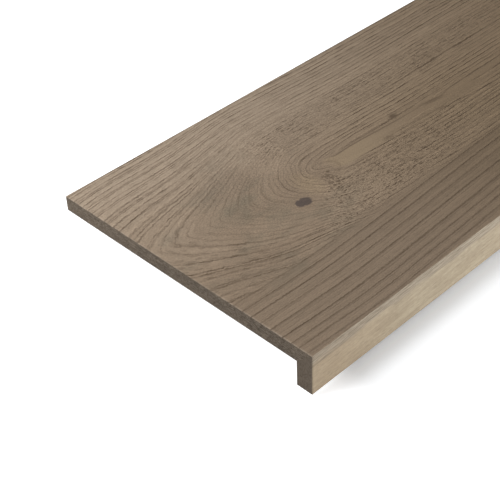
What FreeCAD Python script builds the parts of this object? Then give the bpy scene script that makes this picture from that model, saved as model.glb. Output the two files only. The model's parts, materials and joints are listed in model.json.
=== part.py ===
"""Stair-cladding tread: a flat oak board with a nosing strip mitred and glued along its front edge.

The section is drawn level, with Y running from the nosing's front face to the back edge and Z up
from the nosing's foot. The finished pieces are then laid down as the tread rests on a floor:
on the back edge of the nosing's foot and the lower back edge of the board.
"""
import FreeCAD, Part
import math
import os

# Driving sizes, in millimetres
LENGTH = 1000.0           # along the front edge, as the tread is sold
DEPTH = 290.0             # from the nosing's front face to the back edge
BOARD_THICKNESS = 15.0
NOSING_THICKNESS = 16.0   # front to back
NOSING_HEIGHT = 40.0      # from the walking surface down to the nosing's foot
ARRIS_RADIUS = 0.5        # rounding of the long edges
END_BEVEL = 0.3           # bevel round the two sawn ends

# Corners of the section, as (y, z)
FRONT_TOP = (0.0, NOSING_HEIGHT)
FRONT_FOOT = (0.0, 0.0)
BACK_FOOT = (NOSING_THICKNESS, 0.0)
INNER_CORNER = (NOSING_THICKNESS, NOSING_HEIGHT - BOARD_THICKNESS)
BACK_BOTTOM = (DEPTH, NOSING_HEIGHT - BOARD_THICKNESS)
BACK_TOP = (DEPTH, NOSING_HEIGHT)

# The tread tips back until the board's lower back edge is level with the nosing's back foot
REST_TILT = math.atan2(BACK_BOTTOM[1] - BACK_FOOT[1], BACK_BOTTOM[0] - BACK_FOOT[0])


def sawn_length(corners):
    """A straight length of stock with the given section, centred on X = 0."""
    start = -LENGTH / 2
    outline = Part.makePolygon([FreeCAD.Vector(start, y, z) for y, z in corners + corners[:1]])
    return Part.Face(outline).extrude(FreeCAD.Vector(LENGTH, 0, 0))


def runs_along_x(edge):
    first, last = edge.Vertexes[0].Point, edge.Vertexes[-1].Point
    return abs(last.x - first.x) > LENGTH / 2


def at_inner_corner(edge):
    point = edge.Vertexes[0].Point
    return math.hypot(point.y - INNER_CORNER[0], point.z - INNER_CORNER[1]) < ARRIS_RADIUS


def eased(tread):
    """The glued-up tread with its long outer edges rounded and the edges of its ends bevelled."""
    long_edges = [edge for edge in tread.Edges if runs_along_x(edge) and not at_inner_corner(edge)]
    rounded = tread.makeFillet(ARRIS_RADIUS, long_edges)
    end_edges = [edge for edge in rounded.Edges if not runs_along_x(edge)]
    return rounded.makeChamfer(END_BEVEL, end_edges)


def laid_down(pieces):
    """The pieces tipped to their resting attitude, with the origin under the middle of the tread."""
    for shape in pieces.values():
        shape.rotate(FreeCAD.Vector(0, 0, 0), FreeCAD.Vector(1, 0, 0), -math.degrees(REST_TILT))
    box = Part.makeCompound(list(pieces.values())).optimalBoundingBox(False, False)
    for shape in pieces.values():
        shape.translate(FreeCAD.Vector(-box.Center.x, -box.Center.y, -box.ZMin))
    return pieces


# The mitre runs from the inner corner up to the front top edge, so no joint shows on either face
board_blank = sawn_length([FRONT_TOP, INNER_CORNER, BACK_BOTTOM, BACK_TOP])
nosing_blank = sawn_length([FRONT_TOP, FRONT_FOOT, BACK_FOOT, INNER_CORNER])

# The edges are eased after gluing, so the rounding runs across the joint
tread = eased(board_blank.fuse(nosing_blank).removeSplitter())
pieces = laid_down({
    "tread_board": tread.common(board_blank),
    "nosing_strip": tread.common(nosing_blank),
})

os.makedirs("parts", exist_ok=True)
for node, shape in pieces.items():
    solid = shape.Solids[0]
    print(node, "valid", solid.isValid(), "volume mm3", round(solid.Volume, 1))
    solid.exportStep(f"parts/{node}.step")
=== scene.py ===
"""Dresses the packed stair tread: brushed, grey-brown oiled oak on a mitred L-shaped section."""
import json
import math
from typing import NamedTuple

import bpy
import numpy as np
from bpy.props import FloatProperty, FloatVectorProperty, IntProperty, PointerProperty
from mathutils import Matrix, Vector


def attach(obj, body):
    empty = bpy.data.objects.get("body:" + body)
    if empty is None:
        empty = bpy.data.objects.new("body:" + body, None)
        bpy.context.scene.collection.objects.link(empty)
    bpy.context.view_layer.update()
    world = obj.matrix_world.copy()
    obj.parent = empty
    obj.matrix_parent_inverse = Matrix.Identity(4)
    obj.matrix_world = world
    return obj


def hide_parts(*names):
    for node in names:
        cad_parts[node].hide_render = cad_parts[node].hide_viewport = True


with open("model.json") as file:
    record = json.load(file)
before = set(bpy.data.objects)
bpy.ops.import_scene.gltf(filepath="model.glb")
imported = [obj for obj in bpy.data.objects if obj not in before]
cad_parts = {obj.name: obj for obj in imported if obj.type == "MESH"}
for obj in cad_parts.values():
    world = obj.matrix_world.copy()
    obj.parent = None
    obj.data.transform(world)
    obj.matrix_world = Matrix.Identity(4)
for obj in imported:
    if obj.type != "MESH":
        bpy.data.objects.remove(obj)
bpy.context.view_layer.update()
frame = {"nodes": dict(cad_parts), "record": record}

bl_info = {
    "name": "Oak Stair Tread",
    "version": (1, 0, 0),
    "blender": (4, 5, 0),
    "location": "3D View > Sidebar > Stair Tread",
    "description": "Builds the oak skins of a nosed stair tread and its studio",
    "category": "Object",
}

BOARD, NOSING = "tread_board", "nosing_strip"

# Lamps: place, aim, diameter and the setting that holds the power
LAMPS = {
    "key_light": ((-0.98, 0.42, 0.80), (-0.35, 0.0, 0.0), 0.62, "key_power"),
    "front_light": ((0.75, -1.5, 0.40), (0.0, 0.0, 0.0), 0.90, "front_power"),
    "right_light": ((0.80, -0.20, 0.75), (0.45, 0.0, 0.0), 0.40, "right_power"),
}
FLOOR_REACH = 6.0  # half the floor's side
NOSING_RING = 0.0042  # ring spacing of the nosing strip


# Measures of the packed tread

class Section:
    """The tread's level section: y from the nosing's front face, z up from the nosing's foot.

    The row stores the tread as it rests, tipped back about X by the angle of its underside, so a
    level point (y, z) lies at (y cos + z sin, z cos - y sin) in the row.
    """

    def __init__(self):
        mounts = {mount["name"]: mount for mount in frame["record"]["mounts"]}
        down = mounts["underside"]["axis"]
        self.tilt = math.atan2(-down[1], -down[2])
        level = {node: self.levelled(node) for node in (BOARD, NOSING)}
        points = np.concatenate(list(level.values()))
        self.left, self.front, self.foot = points.min(0)
        right, back, top = points.max(0)
        self.length = right - self.left
        self.depth = back - self.front
        self.height = top - self.foot
        self.thickness = np.ptp(level[BOARD][:, 2])
        self.nose = np.ptp(level[NOSING][:, 1])

    def levelled(self, node):
        """The node's corners turned level again."""
        mesh = frame["nodes"][node].data
        points = np.empty(len(mesh.vertices) * 3)
        mesh.vertices.foreach_get("co", points)
        x, y, z = points.reshape(-1, 3).T
        cos, sin = math.cos(self.tilt), math.sin(self.tilt)
        return np.stack([x, y * cos - z * sin, y * sin + z * cos], 1)

    def laid(self, x, y, z):
        """Points of the level section, x from the left end, put where the tread rests."""
        x, y, z = np.broadcast_arrays(x + self.left, y + self.front, z + self.foot)
        cos, sin = math.cos(self.tilt), math.sin(self.tilt)
        return np.stack([x, y * cos + z * sin, z * cos - y * sin], -1)


SECTION = Section()


# Settings

class TreadGrain(bpy.types.PropertyGroup):
    """Where the board's figure lies and how close its rings are."""

    flame_reach: FloatProperty(
        name="Flame reach", description="From the left end to the heart of the flame figure",
        default=0.166, unit="LENGTH")
    heart_line: FloatProperty(
        name="Heart line", description="From the back edge to the tip of the flame at the left end",
        default=0.118, unit="LENGTH")
    heart_height: FloatProperty(
        name="Heart height", description="Height of the tree's heart above the walking surface",
        default=0.041, unit="LENGTH")
    flame_rise: FloatProperty(
        name="Flame rise", description="How far the heart climbs towards the left end",
        default=0.075, unit="LENGTH")
    fine_ring: FloatProperty(
        name="Fine ring", description="Ring spacing of the slow-grown wood inside the flame",
        default=0.0019, unit="LENGTH")
    coarse_ring: FloatProperty(
        name="Coarse ring", description="Ring spacing of the wood behind the flame",
        default=0.0095, unit="LENGTH")
    front_ring: FloatProperty(
        name="Front ring", description="Ring spacing of the straight grain along the nosing",
        default=0.0095, unit="LENGTH")
    front_band: FloatProperty(
        name="Front band", description="From the back edge to where the straight grain begins",
        default=0.2095, unit="LENGTH")
    knot_place: FloatVectorProperty(
        name="Knot place", description="From the left end and from the back edge",
        default=(0.1328, 0.1572), size=2, unit="LENGTH")
    knot_size: FloatVectorProperty(
        name="Knot size", description="Along and across the board",
        default=(0.016, 0.012), size=2, unit="LENGTH")
    groove: FloatProperty(
        name="Groove depth", description="Depth that brushing takes out of the soft early wood",
        default=0.00010, unit="LENGTH")


class TreadFinish(bpy.types.PropertyGroup):
    """Colours of the oiled oak."""

    late_wood: FloatVectorProperty(
        name="Late wood", description="Dense wood between the pores", subtype="COLOR",
        default=(0.286, 0.214, 0.150))
    far_wood: FloatVectorProperty(
        name="Far wood", description="Browner dense wood right of the flame", subtype="COLOR",
        default=(0.281, 0.204, 0.130))
    early_wood: FloatVectorProperty(
        name="Early wood", description="Open-pored lines of each ring", subtype="COLOR",
        default=(0.112, 0.077, 0.049))
    smoked_wood: FloatVectorProperty(
        name="Smoked wood", description="Greyer blotches of the flame", subtype="COLOR",
        default=(0.200, 0.163, 0.116))
    clear_wood: FloatVectorProperty(
        name="Clear wood", description="Poreless band beside the pin knot", subtype="COLOR",
        default=(0.354, 0.265, 0.173))
    # Paler colour of the back corner: partly wear, partly painted light and a painted grey sheen; also the
    # colour of the painted highlight along the left end's top edge.
    worn_and_lit_wood: FloatVectorProperty(
        name="Worn wood", description="Paler wood of the back corner", subtype="COLOR",
        default=(0.440, 0.349, 0.263))
    knot_wood: FloatVectorProperty(
        name="Knot", description="Wood of the dead knot", subtype="COLOR",
        default=(0.090, 0.070, 0.064))
    nosing_late: FloatVectorProperty(
        name="Nosing late wood", description="Dense wood of the nosing strip", subtype="COLOR",
        default=(0.345, 0.280, 0.194))
    nosing_pale: FloatVectorProperty(
        name="Nosing pale wood", description="Yellower clouds of the nosing strip", subtype="COLOR",
        default=(0.398, 0.330, 0.232))
    nosing_grey: FloatVectorProperty(
        name="Nosing grey wood", description="Tight grain along the top of the nosing strip", subtype="COLOR",
        default=(0.325, 0.280, 0.222))
    nosing_early: FloatVectorProperty(
        name="Nosing early wood", description="Open-pored lines of the nosing strip", subtype="COLOR",
        default=(0.215, 0.170, 0.118))
    end_late: FloatVectorProperty(
        name="End grain", description="Sawn end, where the oil sinks in", subtype="COLOR",
        default=(0.172, 0.136, 0.100))
    end_early: FloatVectorProperty(
        name="End pores", description="Pore rings of the sawn end", subtype="COLOR",
        default=(0.085, 0.064, 0.046))


class TreadShape(bpy.types.PropertyGroup):
    """Easing of the edges and fineness of the skins."""

    arris: FloatProperty(
        name="Arris radius", description="Rounding of the long edges", default=0.0005, unit="LENGTH")
    end_bevel: FloatProperty(
        name="End bevel", description="Bevel round the sawn ends", default=0.0003, unit="LENGTH")
    stations: IntProperty(
        name="Stations", description="Sections along the tread", default=250, min=8)
    top_rows: IntProperty(
        name="Top rows", description="Points across the walking surface", default=340, min=8)
    face_rows: IntProperty(
        name="Face rows", description="Points down the nosing's front face", default=64, min=4)


class TreadStage(bpy.types.PropertyGroup):
    """Camera and lights."""

    aim: FloatVectorProperty(
        name="Aim", description="Point in the middle of the picture", subtype="XYZ", unit="LENGTH",
        default=(-0.4437, -0.0224, 0.0303))
    azimuth: FloatProperty(
        name="Azimuth", description="Camera's turn about the tread", unit="ROTATION",
        default=math.radians(-46.565))
    elevation: FloatProperty(
        name="Elevation", description="Camera's height angle", unit="ROTATION",
        default=math.radians(42.977))
    roll: FloatProperty(
        name="Roll", description="Camera's turn about its line of sight", unit="ROTATION",
        default=math.radians(2.368))
    distance: FloatProperty(
        name="Distance", description="From the aim to the camera", default=0.9935, unit="LENGTH")
    lens: FloatProperty(
        name="Lens", description="Focal length in millimetres on a 36 mm sensor", default=88.28)
    key_power: FloatProperty(
        name="Key light", description="Soft light above the back left corner, in watts", default=9.5)
    front_power: FloatProperty(
        name="Front light", description="Soft light in front of the nosing, in watts", default=40.0)
    right_power: FloatProperty(
        name="Right light", description="Soft light above the right end, in watts", default=0.8)
    ambient: FloatProperty(
        name="Ambient", description="Even light from all round", default=0.14)


# Expressions that work on numbers, whole arrays and shader values alike

class Value:
    """A number in a material; arithmetic on it adds Math nodes."""

    def __init__(self, recipe, socket):
        self.recipe, self.socket = recipe, socket

    def math(self, operation, *others, clamp=False):
        inputs = {index: value for index, value in enumerate((self, *others))}
        return self.recipe.add("ShaderNodeMath", {"operation": operation, "use_clamp": clamp}, inputs)

    def reflected(self, operation, first):
        return self.recipe.add("ShaderNodeMath", {"operation": operation}, {0: first, 1: self})

    def __add__(self, other):
        return self.math("ADD", other)

    def __sub__(self, other):
        return self.math("SUBTRACT", other)

    def __mul__(self, other):
        return self.math("MULTIPLY", other)

    def __truediv__(self, other):
        return self.math("DIVIDE", other)

    def __rsub__(self, first):
        return self.reflected("SUBTRACT", first)

    def __rtruediv__(self, first):
        return self.reflected("DIVIDE", first)

    __radd__ = __add__
    __rmul__ = __mul__


def held(a):
    """a kept between 0 and 1."""
    return a.math("ADD", 0.0, clamp=True) if isinstance(a, Value) else np.clip(a, 0, 1)


def root(a):
    return a.math("SQRT") if isinstance(a, Value) else np.sqrt(a)


def raised(a, power):
    return a.math("POWER", power) if isinstance(a, Value) else np.power(a, power)


def wave(a):
    return a.math("SINE") if isinstance(a, Value) else np.sin(a)


def angle(a, b):
    return a.math("ARCTAN2", b) if isinstance(a, Value) else np.arctan2(a, b)


def least(a, b):
    return a.math("MINIMUM", b) if isinstance(a, Value) else np.minimum(a, b)


def apart(a, b):
    """Distance between two values."""
    gap = a - b
    return gap.math("ABSOLUTE") if isinstance(gap, Value) else np.abs(gap)


def smooth(a, low, high):
    """0 below low, 1 above high and a cubic ease between them."""
    t = held((a - low) * (1 / (high - low)))
    return t * t * (3 - 2 * t)


def above(a, width):
    """a where it is well above 0 and 0 where it is well below, with a bend of the given width."""
    return (a + root(a * a + width * width)) * 0.5


def hump(a, middle, width):
    """A bell of height 1 about middle: 1 over 1 plus the square of the distance in widths, squared."""
    t = (a - middle) * (1 / width)
    bell = 1 / (1 + t * t)
    return bell * bell


def band(a, rise, fall):
    """1 between a rise and a fall, each given by its two ends, and 0 outside them."""
    return smooth(a, *rise) * (1 - smooth(a, *fall))


def spared(*cuts):
    """What cuts leave, each given by its share and its mask: the product of 1 - share * mask."""
    return math.prod(1 - share * mask for share, mask in cuts)


# The board's figure, in metres: x from the left end, y from the back edge, z down from the top

def heart_line(g, x):
    """The heart of the tree runs along the board and drifts towards the nosing."""
    drift = 0.016 * smooth(x, 0.0, g.flame_reach) + 0.006 * smooth(x, g.flame_reach, 0.33)
    return g.heart_line + drift - 0.012 * smooth(x, 0.55, 0.95)


def heart_climb(g, x):
    """Square of the heart's climb above its lowest run: most at the flame on the left, less at the right."""
    left = raised(above(g.flame_reach - x, 0.012) * (1 / g.flame_reach), 0.75)
    return g.flame_rise ** 2 * left + 0.055 ** 2 * smooth(x, 0.60, 1.05)


def tip_point(x, across):
    """What the square of the way across gains or loses near the flame's tip, which makes the tip pointed.

    Behind the heart it gains in proportion to the way across, up to a limit, and before it, where the
    legs are steeper, less, and it loses two fifths of itself.
    """
    behind, before = above(0 - across, 0.002), above(across, 0.002)
    gain = 0.0015 * behind / (behind + 0.05) + 0.0004 * before / (before + 0.02)
    return (gain - 0.4 * before * before) * (1 - smooth(x, 0.06, 0.15))


def flame_place(g, x, y, z):
    """Place in the flame: distance from the heart, the angle round it, and an even step across it.

    The distance is the root of the squares of the way across and of the heart's height, so rings are
    surfaces of equal distance. The even step leaves out the heart's lowest height.
    """
    across = y - heart_line(g, x)
    climb = heart_climb(g, x)
    height = root(climb + g.heart_height ** 2) + z
    square = across * across + tip_point(x, across)
    step = root(square + climb) + z
    return root(square + height * height), angle(across, height), step


def flame_rings(g, distance):
    """Rings counted outwards from the heart: fine as far as the flame, coarse beyond it."""
    border, bend = 0.087, 0.005
    inner = border - above(border - distance, bend)
    return distance * (1 / g.coarse_ring) + inner * (1 / g.fine_ring - 1 / g.coarse_ring)


def front_bow(x):
    """How far the straight grain bows towards the nosing near the left end, and back beyond it."""
    return (0.0045 * hump(x, 0.085, 0.12) - 0.007 * smooth(x, 0.15, 0.42)
            + 0.006 * smooth(x, 0.55, 1.0) - 0.0043)


def front_across(x, y, z):
    """The way across the straight grain, which bows along the board and leans with its depth."""
    return y - front_bow(x) + 0.35 * z


def front_rings(g, x, y, z):
    """Rings of the straight grain, counted from its back border, wider in the middle of the band."""
    across = front_across(x, y, z)
    return (across - g.front_band) * (1 / g.front_ring) - 0.55 * hump(across, 0.2655, 0.018)


def front_share(g, x, y):
    """0 in the figured wood, 1 in the straight grain along the nosing."""
    border = g.front_band + 0.003 * smooth(x, 0.0, 0.07) - 0.002 * smooth(x, 0.15, 0.30)
    return smooth(y - border, -0.007, 0.003)


def board_end(g, x, y, z):
    """Ring number on the sawn ends, over both kinds of wood, and brightness, more towards the back, which is
    painted light.
    """
    share = front_share(g, x, y)
    distance, _, _ = flame_place(g, x, y, z)
    flame_count = 46
    rings = flame_rings(g, distance) * (1 - share) + (front_rings(g, x, y, z) + flame_count) * share
    # Painted light: the end is brighter towards the back.
    return rings, 1.34 - 0.16 * smooth(y, 0.02, 0.11)


def nosing_across(y, z):
    """The way across the strip's grain, which leans back from the front face."""
    return y + 0.6 * z


def nosing_end(x, y, z):
    """Ring number on the strip's sawn ends, and their even brightness."""
    return nosing_across(y, z) * (1 / NOSING_RING), 1.17


def oval(x, y, place, size):
    """Distance from a place in radii of an oval of the given length and width."""
    along, across = (x - place[0]) * (2 / size[0]), (y - place[1]) * (2 / size[1])
    return root(along * along + across * across)


def knot_rim(g, x, y):
    """The knot's outline: distance in radii from the nearer of its two overlapping lobes."""
    (x0, y0), (length, width) = g.knot_place, g.knot_size
    near = oval(x, y, (x0 + 0.11 * length, y0 + 0.02 * width), (0.80 * length, 0.96 * width))
    far = oval(x, y, (x0 - 0.20 * length, y0 - 0.04 * width), (0.62 * length, 0.84 * width))
    return least(near, far)


# Skins

def eased_corner(middle, radius, start, end, count):
    """Points of the arc about a middle that rounds a corner, between two angles in degrees."""
    turn = np.radians(np.linspace(start, end, count))
    return np.array(middle) + radius * np.stack([np.cos(turn), np.sin(turn)], 1)


def mitre_start(arris, inset):
    """Angle in degrees at which the mitre meets the rounding of the front top edge.

    The mitre runs from the inner corner to the square front corner. Its distance along that line to
    the rounding is b - sqrt(b b - r r), with b the line's direction times the rounding's middle.
    """
    s = SECTION
    line = np.array([s.nose, -s.thickness]) / math.hypot(s.nose, s.thickness)
    middle = np.array([arris, -arris])
    along = line @ middle
    point = line * (along - math.sqrt(along * along - (arris - inset) ** 2))
    return math.degrees(math.atan2(*(point - middle)[::-1]))


def board_section(shape, inset):
    """Closed outline of the board, clockwise from the mitre over the top, inset all round."""
    s, r = SECTION, shape.arris
    low, radius = s.height - s.thickness, r - inset
    top = np.linspace(r, s.depth - r, shape.top_rows)[1:-1]
    under = np.linspace(s.depth - r, s.nose * (1 - inset / s.thickness), 9)[1:]
    return np.concatenate([
        eased_corner((r, s.height - r), radius, mitre_start(r, inset), 90, 4),
        np.stack([top, np.full_like(top, s.height - inset)], 1),
        eased_corner((s.depth - r, s.height - r), radius, 90, 0, 5),
        eased_corner((s.depth - r, low + r), radius, 0, -90, 5),
        np.stack([under, np.full_like(under, low + inset)], 1),
    ])


def nosing_section(shape, inset):
    """Closed outline of the strip, clockwise from the inner corner down its back, inset all round."""
    s, r = SECTION, shape.arris
    radius = r - inset
    corner = (s.nose - inset, s.height - s.thickness * (1 - inset / s.nose))
    face = np.linspace(r, s.height - r, shape.face_rows)[1:-1]
    return np.concatenate([
        [corner],
        eased_corner((s.nose - r, r), radius, 0, -90, 5),
        eased_corner((r, r), radius, 270, 180, 5),
        np.stack([np.full_like(face, inset), face], 1),
        eased_corner((r, s.height - r), radius, 180, mitre_start(r, inset), 4),
    ])


def rounded_steps(shape, outline):
    """Marks the short steps of an outline, which are those of its rounded corners."""
    points = outline(shape, 0.0)
    return np.hypot(*(np.roll(points, -1, 0) - points).T) <= 4 * shape.arris


def stations(shape):
    """Places of the sections along the tread, closer together at the figured left end.

    Between the two bevels the place is a share of the run plus a share of its square.
    """
    even = 0.42
    share = np.linspace(0, 1, shape.stations)
    run = SECTION.length - 2 * shape.end_bevel
    inner = shape.end_bevel + run * (even * share + (1 - even) * share ** 2)
    return np.concatenate([[0.0], inner, [SECTION.length]])


def carried(shape, outline):
    """The outline carried along the tread: arrays of x, y and z, one row for each station.

    The first and last outlines are inset by the end bevel.
    """
    full, ends = outline(shape, 0.0), outline(shape, shape.end_bevel)
    x = stations(shape)
    sections = np.repeat(full[None], len(x), 0)
    sections[0] = sections[-1] = ends
    return np.repeat(x[:, None], len(full), 1), sections[..., 0].copy(), sections[..., 1].copy()


def skin(name, points, rounded):
    """A closed mesh over rows of points: quads between the rows and one flat face on each end.

    rounded marks the steps of the outline that are shaded smooth. The sawn ends take the second
    material.
    """
    rows, steps = points.shape[:2]
    row, step = np.meshgrid(np.arange(rows - 1), np.arange(steps), indexing="ij")
    after = (step + 1) % steps
    quads = np.stack([row, row + 1, row + 1, row], -1) * steps + np.stack([step, step, after, after], -1)
    first, last = np.arange(steps), np.arange(steps)[::-1] + (rows - 1) * steps
    corners = np.concatenate([quads.ravel(), first, last])
    sizes = np.concatenate([np.full(row.size, 4), [steps, steps]])
    is_end = (row == 0) | (row == rows - 2)
    use_end = np.append(np.zeros(row.size), [1, 1])
    mesh = bpy.data.meshes.new(name)
    mesh.vertices.add(rows * steps)
    mesh.vertices.foreach_set("co", points.astype(np.float32).ravel())
    mesh.loops.add(len(corners))
    mesh.loops.foreach_set("vertex_index", corners.astype(np.int32))
    mesh.polygons.add(len(sizes))
    mesh.polygons.foreach_set("loop_start", (np.cumsum(sizes) - sizes).astype(np.int32))
    mesh.polygons.foreach_set("use_smooth", np.append((rounded[step] & ~is_end).ravel(), [False, False]))
    mesh.polygons.foreach_set("material_index", use_end.astype(np.int32))
    mesh.update(calc_edges=True)
    mesh.validate()
    piece = bpy.data.objects.new(name, mesh)
    bpy.context.scene.collection.objects.link(piece)
    return piece


def dressed(piece, node, slot, *materials):
    """The piece in its materials, standing for a node of the frame."""
    for material in materials:
        piece.data.materials.append(material)
    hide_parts(node)
    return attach(piece, "root")


def brushed_board(g, x, y):
    """Relief of the walking surface: early wood brushed out of each ring, and the sunken knot.

    The groove is the eighth power of a cosine of the ring number, faded out where rings come closer
    together than the skin's rows.
    """
    def groove(rings):
        spread = np.abs(np.gradient(rings, axis=0)) + np.abs(np.gradient(rings, axis=1))
        return (0.5 + 0.5 * np.cos(2 * np.pi * rings)) ** 8 * smooth(0.3 - spread, 0.0, 0.15)
    share = front_share(g, x, y)
    distance, _, _ = flame_place(g, x, y, 0.0)
    early = groove(flame_rings(g, distance)) * (1 - share) + groove(front_rings(g, x, y, 0.0)) * share
    sunk = 1 - smooth(knot_rim(g, x, y), 0.8, 1.15)
    return -g.groove * (early + 2.0 * sunk)


# Materials

class Recipe:
    """The nodes of one material or world."""

    def __init__(self, owner):
        owner.use_nodes = True
        self.owner, self.tree = owner, owner.node_tree
        self.tree.nodes.clear()

    def add(self, kind, settings=None, inputs=None, output=0):
        """A node of a kind, with its settings and then its inputs, given as numbers or links."""
        node = self.tree.nodes.new(kind)
        for name, value in (settings or {}).items():
            setattr(node, name, value)
        for name, value in (inputs or {}).items():
            if isinstance(value, Value):
                self.tree.links.new(value.socket, node.inputs[name])
            else:
                node.inputs[name].default_value = value
        if not len(node.outputs):
            return self.owner
        if isinstance(output, tuple):
            return [Value(self, node.outputs[name]) for name in output]
        return Value(self, node.outputs[output])

    def place(self, turn, origin):
        """x, y and z of the object, turned about X and moved so that origin comes to 0."""
        coordinates = self.add("ShaderNodeTexCoord", output="Object")
        moved = -(Matrix.Rotation(turn, 3, "X") @ Vector(origin))
        turned = self.add("ShaderNodeMapping", {"vector_type": "POINT"}, {
            "Vector": coordinates, "Rotation": (turn, 0, 0), "Location": moved})
        return self.add("ShaderNodeSeparateXYZ", inputs={0: turned}, output=("X", "Y", "Z"))

    def vector(self, x, y, z):
        return self.add("ShaderNodeCombineXYZ", inputs={"X": x, "Y": y, "Z": z})

    def noise(self, x, y, z, detail=2.0, roughness=0.5):
        """Smooth noise from about 0 to 1, with features about one unit long."""
        return self.add("ShaderNodeTexNoise", {"noise_dimensions": "3D", "normalize": True}, {
            "Vector": self.vector(x, y, z), "Scale": 1.0, "Detail": detail, "Roughness": roughness})

    def dashes(self, fibre, length, width, fill, seed=0.0):
        """Separate marks along the grain, one to a cell of a length and width, up to fill of it wide.

        Each cell's random number sets how large and how dark its mark is.
        """
        along, across, side = fibre
        distance, random = self.add(
            "ShaderNodeTexVoronoi", {"feature": "F1", "voronoi_dimensions": "3D"},
            {"Vector": self.vector(along / length, across / width, side / length + seed), "Scale": 1.0},
            ("Distance", "Color"))
        random = self.add("ShaderNodeSeparateColor", inputs={0: random}, output="Red")
        return random * (1 - smooth(distance / (fill * (0.4 + 0.6 * random)), 0.70, 1.0))

    def random(self, number):
        """One fixed random number for each whole number."""
        return self.add("ShaderNodeTexWhiteNoise", {"noise_dimensions": "1D"}, {"W": number}, "Value")

    def mix(self, share, first, second, blend="MIX"):
        """Two colours mixed by a share."""
        def colour(value):
            return value if isinstance(value, Value) else (*value, 1.0)
        return self.add("ShaderNodeMix", {"data_type": "RGBA", "blend_type": blend}, {
            0: share, 6: colour(first), 7: colour(second)}, 2)

    def streaks(self, fibre, length, width, low=0.0, high=1.0, detail=2.0, seed=0.0):
        """Noise drawn out along the grain in marks of a length and width, eased from low to high."""
        along, across, side = fibre
        noise = self.noise(along / length + seed, across / width, side / length + seed, detail, 0.55)
        return smooth(noise, low, high)

    def grey(self, value):
        return self.add("ShaderNodeCombineColor", inputs={"Red": value, "Green": value, "Blue": value})

    def oiled(self, colour, roughness, height, relief):
        """A matt oiled surface with relief in metres."""
        bump = self.add("ShaderNodeBump", inputs={"Strength": 1.0, "Distance": relief, "Height": height},
                        output="Normal")
        surface = self.add("ShaderNodeBsdfPrincipled", inputs={
            "Base Color": colour, "Roughness": roughness, "Normal": bump, "Specular IOR Level": 0.25})
        return self.add("ShaderNodeOutputMaterial", inputs={"Surface": surface})


def board_axes(recipe):
    """x from the left end, y from the back edge towards the nosing, z down from the walking surface."""
    s = SECTION
    corner = s.laid(0.0, s.depth, s.height)
    return recipe.place(math.pi + s.tilt, corner)


def nosing_axes(recipe):
    """x from the left end, y down from the walking surface, z back from the nosing's front face."""
    s = SECTION
    corner = s.laid(0.0, 0.0, s.height)
    return recipe.place(math.pi / 2 + s.tilt, corner)


def ring_shade(w, rings, width):
    """Dark start of each ring, of a depth that is random from ring to ring, and its softer skirt."""
    whole = rings.math("FLOOR")
    part = rings - whole
    depth = 0.65 + 0.35 * w.random(whole + 0.5)
    return depth * (1 - smooth(part, 0.4 * width, width)), 1 - smooth(part, 0.0, 3.5 * width)


def hatch(w, fibre, gap):
    """Thin broken lines along the grain, about a gap apart, and the pale rim beside each of them."""
    along, across, side = fibre
    lines = across / gap + 1.4 * w.noise(along * 6, across * 90, side * 6)
    core, _ = ring_shade(w, lines, 0.28)
    rim, _ = ring_shade(w, lines - 0.24, 0.28)
    broken = 0.42 + 0.58 * w.streaks(fibre, 0.008, 0.4 * gap, 0.42, 0.53, seed=7.9)
    broken = broken * smooth(across, 0.0015, 0.0045)
    return core * broken, rim * broken


class Patch(NamedTuple):
    """An oval patch of the board: its middle, its length and width, and the radii where it fades."""

    place: tuple
    size: tuple
    fade: tuple = (0.6, 1.2)

    def cover(self, x, y, ragged=0.0):
        """1 in the middle of the patch and 0 outside it; ragged moves its rim in and out."""
        return 1 - smooth(oval(x, y, self.place, self.size) + ragged, *self.fade)


# Kinds of wood round the flame
CALM = Patch((0.103, 0.125), (0.140, 0.104))  # fine lines inside the flame
BLANK = Patch((0.109, 0.168), (0.104, 0.048))  # hardly a line, beside the knot
ARCHED = Patch((0.150, 0.126), (0.045, 0.045), (0.5, 1.2))  # bolder arcs behind the knot
BURST = Patch((0.153, 0.084), (0.060, 0.080), (0.5, 1.2))  # pale and speckled
SPECKLED = Patch((0.165, 0.075), (0.200, 0.090))  # rougher wood all round the burst
TIP = Patch((0.035, 0.130), (0.130, 0.072), (0.5, 1.2))  # the flame's tip
EYE = Patch((0.170, 0.138), (0.070, 0.052))  # round the pin knot
BARE = Patch((0.360, 0.1475), (0.085, 0.017), (0.7, 1.1))  # poreless, further to the right
SMOKED = Patch((0.090, 0.135), (0.210, 0.190))  # where grey blotches lie
SMOKY = Patch((0.106, 0.092), (0.080, 0.048), (0.4, 1.2))  # darker back of the flame
WARM = Patch((0.155, 0.143), (0.030, 0.046), (0.3, 1.1))  # yellower wood between the knots
BRIGHT = Patch((0.250, 0.105), (0.130, 0.045), (0.5, 1.2))  # paler wood behind the clear band

# Small knots and spots
PIN_KNOT = Patch((0.1790, 0.1427), (0.004, 0.003), (0.5, 1.2))
SWIRL = Patch(PIN_KNOT.place, (0.030, 0.016), (0.0, 1.6))  # rings pushed aside by the pin knot
TORN = Patch((0.1740, 0.1545), (0.018, 0.026), (0.4, 1.2))
SMUDGE = Patch((0.2555, 0.1473), (0.016, 0.0055), (0.3, 1.2))
SMALL_KNOT = Patch((0.2850, 0.1280), (0.012, 0.0085), (0.2, 1.2))
FLECK = Patch((0.331, 0.1382), (0.032, 0.007), (0.3, 1.2))
LOOP_PLACE, LOOP_SIZE = (0.1830, 0.1395), (0.024, 0.018)  # dark ring round the pin knot
HALO_SIZE, HALO_FADE = (0.032, 0.026), (0.3, 1.1)  # shade round the dead knot

CRACK = (0.0003, 0.0013)  # half widths of a crack's core and rim


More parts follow.
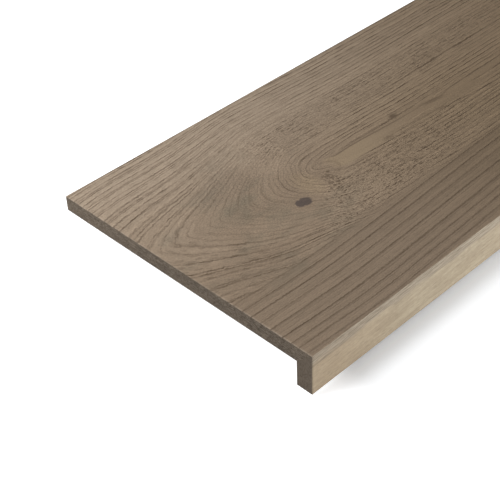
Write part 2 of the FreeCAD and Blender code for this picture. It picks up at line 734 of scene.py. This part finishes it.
class BoardOak:
    """The board's oak: flame figure, straight front grain, pore marks, clear band, colour and knots."""

    def __init__(self, grain, finish):
        self.g, self.finish = grain, finish
        self.w = Recipe(bpy.data.materials.new("tread_oak"))
        self.x, self.y, self.z = board_axes(self.w)
        self.share = front_share(grain, self.x, self.y)
        self.lay_fibres()
        self.lay_patches()

    def over(self, flame, front):
        """A value of the figured wood, and of the straight grain in its band along the nosing."""
        return flame * (1 - self.share) + front * self.share

    def lay_fibres(self):
        """Ring numbers and places along and across both grains, which wander and jag a little.

        Right of the flame its marks are drawn out to twice their length.
        """
        w, g, x, y, z = self.w, self.g, self.x, self.y, self.z
        distance, turn, step = flame_place(g, x, y, z)
        self.wander = w.noise(x * 14, distance * 70, turn * 3) - 0.5
        jag = 0.0016 * (w.noise(x * 420, y * 60, z * 60, detail=1.0) - 0.5)
        sway = 0.004 * self.wander * smooth(x, 0.02, 0.2) + 0.004 * SWIRL.cover(x, y)
        drawn = x - 0.5 * above(x - 0.15, 0.05)
        self.flame = (drawn, step + sway + jag, turn * 0.08)
        self.flame_ring = flame_rings(g, distance + sway + 0.6 * jag)
        bent = y + 0.0012 * self.wander + jag
        self.straight = (x, front_across(x, bent, z), z)
        self.front_ring = front_rings(g, x, bent, z)

    def lay_patches(self):
        """How far each kind of wood covers a place, from 0 to 1."""
        x, y, z = self.x, self.y, self.z
        kinds = (CALM, BLANK, ARCHED, BURST, SPECKLED, TIP, EYE)
        self.calm, self.blank, self.arched, self.burst, self.speckled, self.tip, self.eye = (
            kind.cover(x, y) for kind in kinds)
        self.clouds = self.w.noise(x * 22, y * 45, z * 40, detail=2.0)
        self.figured = smooth(x, 0.13, 0.20)
        self.right = smooth(x, 0.20, 0.30)
        # Paler towards the back left corner: partly wear, partly painted light and a painted grey sheen.
        self.worn_and_lit = (1 - smooth(y, 0.01, 0.15)) * (1 - smooth(x, 0.16, 0.66))
        self.low_left = (1 - self.share) * (1 - smooth(x, 0.06, 0.10)) * smooth(y, 0.165, 0.185)
        self.upper = band(x, (0.13, 0.18), (0.46, 0.58)) * band(y, (0.048, 0.066), (0.086, 0.106))
        lower = smooth(x + 0.9 * (y - 0.15), 0.150, 0.178) * band(y, (0.148, 0.158), (0.197, 0.213))
        self.crumbled = lower * (1 - smooth(x, 0.22, 0.36))
        mottled = held(self.upper * 0.75 + lower * (1 - 0.8 * smooth(x, 0.26, 0.38)))
        self.mottled = mottled * (0.5 + 0.5 * smooth(self.clouds, 0.38, 0.56))

    def flame_marks(self):
        """Dark marks of the figured wood, which are lines, hatching, dashes and flecks, and its pale ones."""
        w, x, y, z = self.w, self.x, self.y, self.z
        core, skirt = ring_shade(w, self.flame_ring, 0.11)
        beads = w.streaks(self.flame, 0.0045, 0.0012, 0.40, 0.54, seed=3.7)
        line = core * (0.40 + 0.60 * beads) * (1 + 0.8 * self.arched) * spared(
            (0.8, self.figured), (0.35, self.calm), (0.6, self.blank), (0.45, self.tip), (0.6, self.burst))
        hatching, rims = hatch(w, self.flame, 0.0047)
        hatched = spared(
            (0.6, self.calm), (0.6, self.blank), (0.25, self.low_left), (0.4, self.eye),
            (0.25, self.speckled), (0.4, self.upper), (0.6, self.burst), (0.65, self.crumbled),
            (0.65, self.tip))
        hatched = hatched * (0.76 + 0.24 * self.right * (1 - 0.6 * smooth(y, 0.10, 0.15)))
        hatched = hatched * (0.8 + 0.4 * smooth(self.clouds, 0.38, 0.60))
        dashes = w.dashes(self.flame, 0.010, 0.0009, 0.55 + 0.15 * skirt)
        dashes = dashes * (1 - 0.9 * held(self.calm + self.eye))
        flecks = w.dashes(self.flame, 0.0036, 0.0015, 0.58, seed=2.3) * self.mottled
        crumbs = smooth(w.noise(x * 400, y * 560, z * 560), 0.48, 0.66)
        crumbs = crumbs * held(0.40 * self.crumbled + 0.26 * self.upper + 0.28 * self.burst)
        # Pale streaks along the grain: paler fibre, partly a painted highlight of the brushed ridges.
        streaks = w.streaks(self.flame, 0.008, 0.0009, 0.46, 0.62, seed=5.3) * (1 - 0.5 * self.calm)
        marks = line * 0.688 + hatching * hatched + dashes * 0.36 + flecks * 0.70 + crumbs
        return marks + skirt * 0.08 * (1 - self.figured), streaks * 0.5 + rims * hatched

    def front_marks(self):
        """Dark marks of the straight grain, which are lines, hatching and dashes, and its pale ones."""
        w = self.w
        core, skirt = ring_shade(w, self.front_ring, 0.22)
        beads = w.streaks(self.straight, 0.004, 0.0012, 0.36, 0.54, seed=3.7)
        hatching, rims = hatch(w, self.straight, 0.0040)
        dashes = w.dashes(self.straight, 0.014, 0.0009, 0.50 + 0.20 * skirt)
        # Pale streaks along the grain: paler fibre, partly a painted highlight of the brushed ridges.
        streaks = w.streaks(self.straight, 0.012, 0.0009, 0.46, 0.62, seed=5.3)
        line = core * (0.5 + 0.4 * beads)
        return line * 0.64 + hatching * 0.26 + dashes * 0.22 + skirt * 0.08, (streaks + rims) * 0.3

    def clear_band(self):
        """The clear band right of the flame, all bare wood round it, and the dark cracks along it."""
        x, y = self.x, self.y
        seam = (0.1265 + 0.0042 * smooth(x, 0.188, 0.203) + 0.0047 * smooth(x, 0.215, 0.31)
                + 0.003 * hump(x, 0.343, 0.015) + 0.0025 * self.wander)
        belly = 0.0185 - 0.012 * smooth(x, 0.24, 0.32)
        clear = (band(x, (0.184, 0.196), (0.255, 0.31))
                 * smooth(y - seam, 0.0, 0.0015) * (1 - smooth(y - seam - belly, -0.0025, 0.001)))
        lean = 0.11 * (x - BARE.place[0])
        beside, under = apart(y, seam), apart(y, 0.1568 + lean + 0.0025 * self.wander)
        cracked = band(x, (0.190, 0.205), (0.36, 0.42)) * (1 - 0.45 * smooth(x, 0.27, 0.31))
        crack = held(cracked * (1 - smooth(beside, *CRACK))
                     + 0.7 * (1 - smooth(under, *CRACK)) * band(x, (0.31, 0.33), (0.38, 0.42)))
        heart = apart(y, heart_line(self.g, x))
        bare = held(clear + BARE.cover(x, y - lean) + cracked * (1 - smooth(beside, 0.0015, 0.0035))
                    + (1 - smooth(heart, 0.002, 0.005)) * smooth(x, 0.19, 0.21))
        return clear, bare, crack

    def wood(self, clear):
        """Colour of the dense wood: greyer in blotches, yellower where clear, paler at the back corner from
        wear and painted light, and paler along the left end's top edge as a painted highlight.
        """
        w, x, y, z, finish = self.w, self.x, self.y, self.z, self.finish
        blotch = w.noise(x * 16, y * 26, z * 20, detail=3.0, roughness=0.6)
        colour = w.mix(smooth(x, 0.12, 0.40), finish.late_wood, finish.far_wood)
        colour = w.mix(smooth(blotch, 0.45, 0.70) * SMOKED.cover(x, y) * 0.9, colour, finish.smoked_wood)
        # Paler back corner from wear and painted light; the flame's tip is paler too.
        worn_and_lit = self.worn_and_lit * 0.7 + self.tip * 0.12 * (1 - smooth(x, 0.035, 0.065))
        colour = w.mix(held(worn_and_lit), colour, finish.worn_and_lit_wood)
        yellow = clear * 0.8 * (1 - 0.8 * smooth(x, 0.225, 0.275)) + WARM.cover(x, y) * 0.70
        colour = w.mix(held(yellow), colour, finish.clear_wood)
        # Painted highlight along the top edge of the left end, stronger towards the nosing.
        arris_highlight = 1 - smooth(x, 0.0007, 0.0017)
        return w.mix(arris_highlight * (0.10 + 0.45 * smooth(y, 0.17, 0.25)), colour, finish.worn_and_lit_wood)

    def shade(self, clear, bare, pale):
        """Brightness: long tones, pale streaks and fine fibre, then lighter and darker patches, with painted
        shade towards the right and the nosing and along the back edge.
        """
        w, x, y, z, right = self.w, self.x, self.y, self.z, self.right
        tone = self.over(w.streaks(self.flame, 0.20, 0.008, detail=3.0),
                         w.streaks(self.straight, 0.25, 0.010))
        fine = w.noise(x * 550, y * 950, z * 950, detail=1.0)
        rough = (1 + 0.5 * held(self.speckled + self.mottled) + 0.35 * (1 - smooth(y, 0.03, 0.14))
                 + 0.8 * held(self.calm + self.eye) - 0.3 * self.share - 0.5 * clear)
        fibre = (0.14 + 0.12 * right) * (tone - 0.5) + 0.22 * pale * (1 - bare) + 0.60 * (fine - 0.5) * rough
        lighter = (0.25 * self.crumbled * (1 - 0.68 * smooth(x, 0.175, 0.215)) + 0.13 * self.burst
                   + 0.06 * BRIGHT.cover(x, y) + 0.08 * self.blank)
        darker = 0.03 * self.arched + 0.08 * self.low_left + 0.13 * SMOKY.cover(x, y)
        front = (0.09 + 0.03 * smooth(x, 0.10, 0.20) + 0.06 * right) * self.share
        # Painted shade: darker towards the right end and the nosing, away from the key light.
        far = 0.12 * smooth(x, 0.20, 0.50) * smooth(y, 0.06, 0.20)
        # Painted shade along the rounding of the back edge, which faces away from the light.
        back_edge_shade = 0.10 * (1 - smooth(y, 0.0006, 0.0016))
        return 0.99 + fibre + lighter - darker - front - far - back_edge_shade

    def knots(self):
        """How dark the small knots and spots are, how far the dead knot covers, and its grit about 0."""
        x, y, z = self.x, self.y, self.z
        grit = self.w.noise(x * 420, y * 420, z * 420, detail=2.0)
        ragged = grit - 0.5
        knot = 1 - smooth(knot_rim(self.g, x, y) + ragged * 0.5, 0.80, 1.10)
        halo = Patch(self.g.knot_place, HALO_SIZE, HALO_FADE).cover(x, y)
        loop = hump(oval(x, y, LOOP_PLACE, LOOP_SIZE) + ragged * 0.6, 1.0, 0.14) * smooth(x, 0.178, 0.190)
        lean = 0.16 * (x - FLECK.place[0])
        dark = held(
            PIN_KNOT.cover(x, y, ragged * 0.6) * 0.70 + TORN.cover(x, y) * smooth(grit, 0.44, 0.60) * 0.65
            + SMALL_KNOT.cover(x, y, ragged * 1.2) * 0.80 + SMUDGE.cover(x, y, ragged * 1.2) * 0.40
            + FLECK.cover(x, y - lean, ragged * 1.5) * 0.45 + loop * 0.28 + halo * 0.16)
        return dark, knot, ragged

    def material(self):
        """Dense wood, darkened by its marks and knots, with the marks sunk below it."""
        w, finish = self.w, self.finish
        clear, bare, crack = self.clear_band()
        marks, pale = (self.over(*pair) for pair in zip(self.flame_marks(), self.front_marks()))
        marks = held(marks * (1 - 0.9 * bare) * (1 - 0.1 * self.worn_and_lit) + crack * 0.45)
        pale = held(pale)
        dark, knot, ragged = self.knots()
        colour = w.mix(1.0, self.wood(clear), w.grey(self.shade(clear, bare, pale)), "MULTIPLY")
        colour = w.mix(marks, colour, finish.early_wood)
        colour = w.mix(dark, colour, finish.early_wood)
        colour = w.mix(knot * (0.85 + 0.3 * ragged), colour, finish.knot_wood)
        height = 1 - 0.7 * marks - 0.5 * dark - 0.6 * knot + 0.25 * pale
        return w.oiled(colour, 0.58 + 0.2 * marks, height, 0.00040)


def nosing_oak(finish):
    """The strip: pale, nearly straight grain, greyer and tighter along its top."""
    w = Recipe(bpy.data.materials.new("nosing_oak"))
    x, y, z = nosing_axes(w)
    across = nosing_across(y, z) + 0.004 * wave(x * 5.0) + 0.010 * x
    fibre = (x, across, z)
    wander = w.noise(x * 7, across * 90, 0.3) - 0.5
    line, _ = ring_shade(w, across * (1 / NOSING_RING) + wander * 1.6, 0.45)
    line = line * w.streaks(fibre, 0.022, 0.0020, 0.35, 0.65)
    pores = w.dashes(fibre, 0.007, 0.0012, 0.55)
    cloud = w.noise(x * 28, y * 150, z * 150, detail=3.0, roughness=0.6)
    clouded = smooth(cloud, 0.36, 0.66)
    fine = w.noise(x * 300, across * 900, z * 900, detail=1.0)
    streak = w.streaks(fibre, 0.25, 0.007, detail=3.0)

    # Greyer strip of tight grain along the top, with a dark streak under it near the left end
    strip = 1 - smooth(y + 0.010 * (cloud - 0.5), 0.0065, 0.0110)
    tight = w.streaks(fibre, 0.020, 0.0011, 0.42, 0.60, seed=4.1) * strip
    gash = (1 - smooth(apart(y + 0.02 * x, 0.0105), 0.0004, 0.0018)) * (1 - smooth(x, 0.015, 0.05))
    marks = held(line * 0.30 + pores * 0.35 + tight * 0.75 + gash * 0.7)

    colour = w.mix(clouded, finish.nosing_late, finish.nosing_pale)
    colour = w.mix(0.6 - 0.6 * smooth(x, 0.02, 0.13), colour, finish.clear_wood)
    colour = w.mix(strip * 0.6, colour, finish.nosing_grey)
    shade = 0.765 + 0.14 * streak + 0.34 * fine + 0.06 * (clouded - 0.5) * (1 - smooth(x, 0.10, 0.22))
    colour = w.mix(1.0, colour, w.grey(shade), "MULTIPLY")
    colour = w.mix(marks, colour, finish.nosing_early)
    height = 1 - 0.5 * marks + 0.25 * fine
    return w.oiled(colour, 0.55 + 0.15 * marks, height, 0.0003)


def sawn_end(name, axes, wood, finish, coarse):
    """A cross-cut end: faint rings of pores, speckle and fine saw marks, as strong as it is coarse.

    wood gives the ring number and the brightness at a place.
    """
    w = Recipe(bpy.data.materials.new(name))
    x, y, z = axes(w)
    rings, bright = wood(x, y, z)
    rings = rings + (w.noise(y * 90, z * 90, 0.0) - 0.5) * 0.8
    early = 1 - smooth(rings.math("FRACT"), 0.1, 0.6)
    speckle = w.noise(y * 420 + z * 250, z * 800 - y * 250, 0.0, detail=2.0, roughness=0.6)
    speckle = smooth(speckle, 0.46, 0.60)
    saw = smooth(w.noise(y * 130, z * 850, 0.0, detail=3.0, roughness=0.6), 0.36, 0.64)
    cloud = w.noise(y * 60, z * 120, 0.0, detail=3.0)
    dark = early * 0.15 + speckle * 0.75 + (1 - saw) * 0.40
    colour = w.mix(held(0.55 + (dark - 0.55) * coarse), finish.end_late, finish.end_early)
    shade = bright + (0.9 * (cloud - 0.5) + 0.16 * (saw - 0.5)) * coarse
    colour = w.mix(1.0, colour, w.grey(shade), "MULTIPLY")
    return w.oiled(colour, 0.75 + 0.1 * speckle, 1 - 0.5 * speckle + 0.4 * saw, 0.00025 * coarse)


def floor_white(lift, near, far):
    """Pale floor that keeps a soft shadow and fades to plain white away from the tread.

    The camera sees it lifted by a share of white, which grows with the distance from the tread's
    rectangle on the floor, and is more behind the tread and at its left end, where it is painted light that
    lightens the tread's shadow.
    """
    w = Recipe(bpy.data.materials.new("studio_floor"))
    x, y, _ = w.place(0.0, (0, 0, 0))
    half_length, half_depth = SECTION.length / 2, SECTION.depth / 2
    aside = (apart(x, 0.0) - half_length).math("MAXIMUM", 0.0)
    ahead = (apart(y, 0.0) - half_depth).math("MAXIMUM", 0.0)
    distance = root(aside * aside + ahead * ahead)
    away = 0.30 * smooth(distance, 0.0, near) + smooth(distance, near, far)
    # Painted light: extra white behind the back edge and at the left end, also under the board there, which
    # lightens the tread's shadow.
    behind = 0.75 * smooth(y - half_depth, 0.004, 0.018)
    past_end = 0 - x - half_length
    under = smooth(y + half_depth, -0.005, 0.007)
    left = 0.42 * smooth(past_end, -0.048, -0.008) + 0.75 * smooth(past_end, -0.060, -0.015) * under
    seen = w.add("ShaderNodeLightPath", output="Is Camera Ray")
    surface = w.add("ShaderNodeBsdfPrincipled", inputs={
        "Base Color": (0.778, 0.80, 0.83, 1), "Roughness": 0.9, "Specular IOR Level": 0.0,
        "Emission Color": w.grey(seen * held(lift + away + behind + left)), "Emission Strength": 1.0})
    return w.add("ShaderNodeOutputMaterial", inputs={"Surface": surface})


# Operators

class TREAD_OT_board(bpy.types.Operator):
    """Skin the flat board with brushed, flame-figured oak"""

    bl_idname = "tread.board"
    bl_label = "Tread Board"

    def execute(self, context):
        scene = context.scene
        shape, grain, finish = scene.tread_shape, scene.tread_grain, scene.tread_finish
        x, y, z = carried(shape, board_section)
        on_top = np.isclose(z, SECTION.height)
        inner = smooth(np.minimum(y, SECTION.depth - y), shape.arris, 3 * shape.arris)
        z = z + on_top * inner * brushed_board(grain, x, SECTION.depth - y)
        piece = skin("oak_tread_board", SECTION.laid(x, y, z), rounded_steps(shape, board_section))
        end = sawn_end("board_end", board_axes, lambda *place: board_end(grain, *place), finish, 1.0)
        dressed(piece, BOARD, "tread_oak", BoardOak(grain, finish).material(), end)
        return {"FINISHED"}


class TREAD_OT_nosing(bpy.types.Operator):
    """Skin the nosing strip with pale straight-grained oak"""

    bl_idname = "tread.nosing"
    bl_label = "Nosing Strip"

    def execute(self, context):
        shape, finish = context.scene.tread_shape, context.scene.tread_finish
        points = SECTION.laid(*carried(shape, nosing_section))
        piece = skin("oak_nosing_strip", points, rounded_steps(shape, nosing_section))
        end = sawn_end("nosing_end", nosing_axes, nosing_end, finish, 0.4)
        dressed(piece, NOSING, "nosing_oak", nosing_oak(finish), end)
        return {"FINISHED"}


class TREAD_OT_stage(bpy.types.Operator):
    """Set the floor, the lights and the camera"""

    bl_idname = "tread.stage"
    bl_label = "Stage"

    def execute(self, context):
        scene, stage = context.scene, context.scene.tread_stage
        scene.view_settings.view_transform = "Standard"
        self.floor(scene)
        self.world(scene, stage.ambient)
        for name, (place, aim, size, power) in LAMPS.items():
            self.lamp(scene, name, place, aim, size, getattr(stage, power))
        self.camera(scene, stage)
        return {"FINISHED"}

    @staticmethod
    def floor(scene):
        mesh = bpy.data.meshes.new("floor")
        corners = FLOOR_REACH * np.array([[-1, -1, 0], [1, -1, 0], [1, 1, 0], [-1, 1, 0]])
        mesh.from_pydata(corners.tolist(), [], [(0, 1, 2, 3)])
        mesh.materials.append(floor_white(lift=0.15, near=0.028, far=0.10))
        floor = bpy.data.objects.new("floor", mesh)
        scene.collection.objects.link(floor)

    @staticmethod
    def world(scene, ambient):
        """Even light on the tread, and plain white where the world itself is seen."""
        w = Recipe(bpy.data.worlds.new("studio"))
        seen = w.add("ShaderNodeLightPath", output="Is Camera Ray")
        even = w.add("ShaderNodeBackground", inputs={"Color": (1, 1, 1, 1), "Strength": ambient})
        white = w.add("ShaderNodeBackground", inputs={"Color": (1, 1, 1, 1), "Strength": 1.0})
        both = w.add("ShaderNodeMixShader", inputs={0: seen, 1: even, 2: white})
        scene.world = w.add("ShaderNodeOutputWorld", inputs={"Surface": both})

    @staticmethod
    def lamp(scene, name, place, aim, size, power):
        lamp = bpy.data.lights.new(name, "AREA")
        lamp.shape = "DISK"
        lamp.size, lamp.energy = size, power
        holder = bpy.data.objects.new(name, lamp)
        holder.location = place
        holder.rotation_euler = (Vector(place) - Vector(aim)).to_track_quat("Z", "Y").to_euler()
        scene.collection.objects.link(holder)

    @staticmethod
    def camera(scene, stage):
        """The camera stands at the azimuth and elevation, looks at the aim and turns by the roll."""
        lens = bpy.data.cameras.new("camera")
        lens.lens, lens.sensor_width, lens.sensor_fit = stage.lens, 36.0, "HORIZONTAL"
        away = Vector((math.sin(stage.azimuth) * math.cos(stage.elevation),
                       -math.cos(stage.azimuth) * math.cos(stage.elevation), math.sin(stage.elevation)))
        side = Vector((math.cos(stage.azimuth), math.sin(stage.azimuth), 0.0))
        upright = Matrix((side, away.cross(side), away)).transposed().to_4x4()
        camera = bpy.data.objects.new("camera", lens)
        camera.matrix_world = (Matrix.Translation(Vector(stage.aim) + stage.distance * away)
                               @ upright @ Matrix.Rotation(stage.roll, 4, "Z"))
        scene.collection.objects.link(camera)
        scene.camera = camera


OPERATORS = (TREAD_OT_board, TREAD_OT_nosing, TREAD_OT_stage)
SETTINGS = {
    "tread_shape": TreadShape,
    "tread_grain": TreadGrain,
    "tread_finish": TreadFinish,
    "tread_stage": TreadStage,
}


class TREAD_PT_panel(bpy.types.Panel):
    """Buttons and settings of the stair tread"""

    bl_idname = "TREAD_PT_panel"
    bl_label = "Stair Tread"
    bl_space_type = "VIEW_3D"
    bl_region_type = "UI"
    bl_category = "Stair Tread"

    def draw(self, context):
        for operator in OPERATORS:
            self.layout.operator(operator.bl_idname)
        for name, group in SETTINGS.items():
            box = self.layout.box()
            box.label(text=group.__doc__)
            for setting in group.__annotations__:
                box.prop(getattr(context.scene, name), setting)


def register():
    for group in SETTINGS.values():
        bpy.utils.register_class(group)
    for cls in (*OPERATORS, TREAD_PT_panel):
        bpy.utils.register_class(cls)
    for name, group in SETTINGS.items():
        setattr(bpy.types.Scene, name, PointerProperty(type=group))


def unregister():
    for name in SETTINGS:
        delattr(bpy.types.Scene, name)
    for cls in (TREAD_PT_panel, *OPERATORS[::-1], *SETTINGS.values()):
        bpy.utils.unregister_class(cls)


def main():
    register()
    bpy.ops.tread.board()
    bpy.ops.tread.nosing()
    bpy.ops.tread.stage()


if __name__ == "__main__":
    main()
